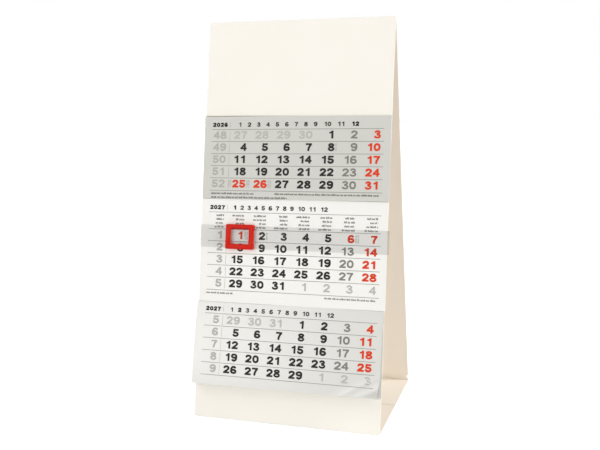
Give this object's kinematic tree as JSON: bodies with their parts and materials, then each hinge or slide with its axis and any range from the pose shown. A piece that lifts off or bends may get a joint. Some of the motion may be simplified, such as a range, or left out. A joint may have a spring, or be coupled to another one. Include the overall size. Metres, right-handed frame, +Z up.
{
  "type": "desk calendar",
  "caption": "Three-month desk calendar: a folding card tent with tear-off month pads and a clear band whose red window frame slides to mark the day.",
  "frame": {"origin": "on the surface the calendar stands on, at the middle of its outline", "axes": "+Z up, +X to the right of someone reading the pads, +Y from the front card to the rear card"},
  "size_m": [0.1068, 0.0916, 0.2143],
  "materials": {
    "card": "matte",
    "grey_paper": "matte",
    "white_paper": "matte",
    "gum": "satin",
    "adhesive": "satin",
    "film": "gloss",
    "red_plastic": "gloss"
  },
  "bodies": {
    "front_card": {"front_panel": "card", "top_pad_tape": "adhesive", "top_pad_gum": "gum", "top_pad_leaf_12": "grey_paper", "top_pad_leaf_11": "grey_paper", "top_pad_leaf_10": "grey_paper", "top_pad_leaf_09": "grey_paper", "top_pad_leaf_08": "grey_paper", "top_pad_leaf_07": "grey_paper", "top_pad_leaf_06": "grey_paper", "top_pad_leaf_05": "grey_paper", "top_pad_leaf_04": "grey_paper", "top_pad_leaf_03": "grey_paper", "top_pad_leaf_02": "grey_paper", "middle_pad_tape": "adhesive", "middle_pad_gum": "gum", "middle_pad_leaf_12": "white_paper", "middle_pad_leaf_11": "white_paper", "middle_pad_leaf_10": "white_paper", "middle_pad_leaf_09": "white_paper", "middle_pad_leaf_08": "white_paper", "middle_pad_leaf_07": "white_paper", "middle_pad_leaf_06": "white_paper", "middle_pad_leaf_05": "white_paper", "middle_pad_leaf_04": "white_paper", "middle_pad_leaf_03": "white_paper", "middle_pad_leaf_02": "white_paper", "middle_pad_leaf_01": "white_paper", "bottom_pad_tape": "adhesive", "bottom_pad_gum": "gum", "bottom_pad_leaf_12": "grey_paper", "bottom_pad_leaf_11": "grey_paper", "bottom_pad_leaf_10": "grey_paper", "bottom_pad_leaf_09": "grey_paper", "bottom_pad_leaf_08": "grey_paper", "bottom_pad_leaf_07": "grey_paper", "bottom_pad_leaf_06": "grey_paper", "bottom_pad_leaf_05": "grey_paper", "bottom_pad_leaf_04": "grey_paper", "bottom_pad_leaf_03": "grey_paper", "bottom_pad_leaf_02": "grey_paper"},
    "top_front_leaf": {"top_pad_leaf_01": "grey_paper"},
    "bottom_front_leaf": {"bottom_pad_leaf_01": "grey_paper"},
    "date_band": {"date_band": "film", "band_seam": "film"},
    "date_frame": {"date_frame": "red_plastic"},
    "base_front": {"base_front_half": "card"},
    "base_rear": {"base_rear_half": "card"},
    "rear_card": {"rear_panel": "card", "rear_glue_tab": "card", "tab_glue_film": "adhesive"}
  },
  "joints": [
    {"name": "front_crease_fold", "type": "hinge", "parent": "front_card", "child": "base_front", "pos_m": [0, -0.03852, 0.0005], "axis": [1, 0, 0], "range_deg": [0, 75.42]},
    {"name": "middle_crease_fold", "type": "hinge", "parent": "base_front", "child": "base_rear", "pos_m": [0, 0.00308, 0], "axis": [1, 0, 0], "range_deg": [-170.97, 0]},
    {"name": "rear_crease_fold", "type": "hinge", "parent": "base_rear", "child": "rear_card", "pos_m": [0, 0.04468, 0.0005], "axis": [1, 0, 0], "range_deg": [0, 75.47]},
    {"name": "band_slide", "type": "slide", "parent": "front_card", "child": "date_band", "axis": [0, -0.1914, -0.9815], "range_m": [0, 0.0264]},
    {"name": "frame_slide", "type": "slide", "parent": "date_band", "child": "date_frame", "axis": [1, 0, 0], "range_m": [-0.0145, 0.0719]},
    {"name": "top_leaf_lift", "type": "hinge", "parent": "front_card", "child": "top_front_leaf", "pos_m": [0, -0.00886, 0.16333], "axis": [-1, 0, 0], "range_deg": [0, 170]},
    {"name": "bottom_leaf_lift", "type": "hinge", "parent": "front_card", "child": "bottom_front_leaf", "pos_m": [0, -0.02838, 0.06322], "axis": [-1, 0, 0], "range_deg": [0, 110]}
  ],
  "couplings": [
    {"joint": "middle_crease_fold", "follows": "front_crease_fold", "ratio": -2.2662},
    {"joint": "rear_crease_fold", "follows": "front_crease_fold", "ratio": 1}
  ]
}
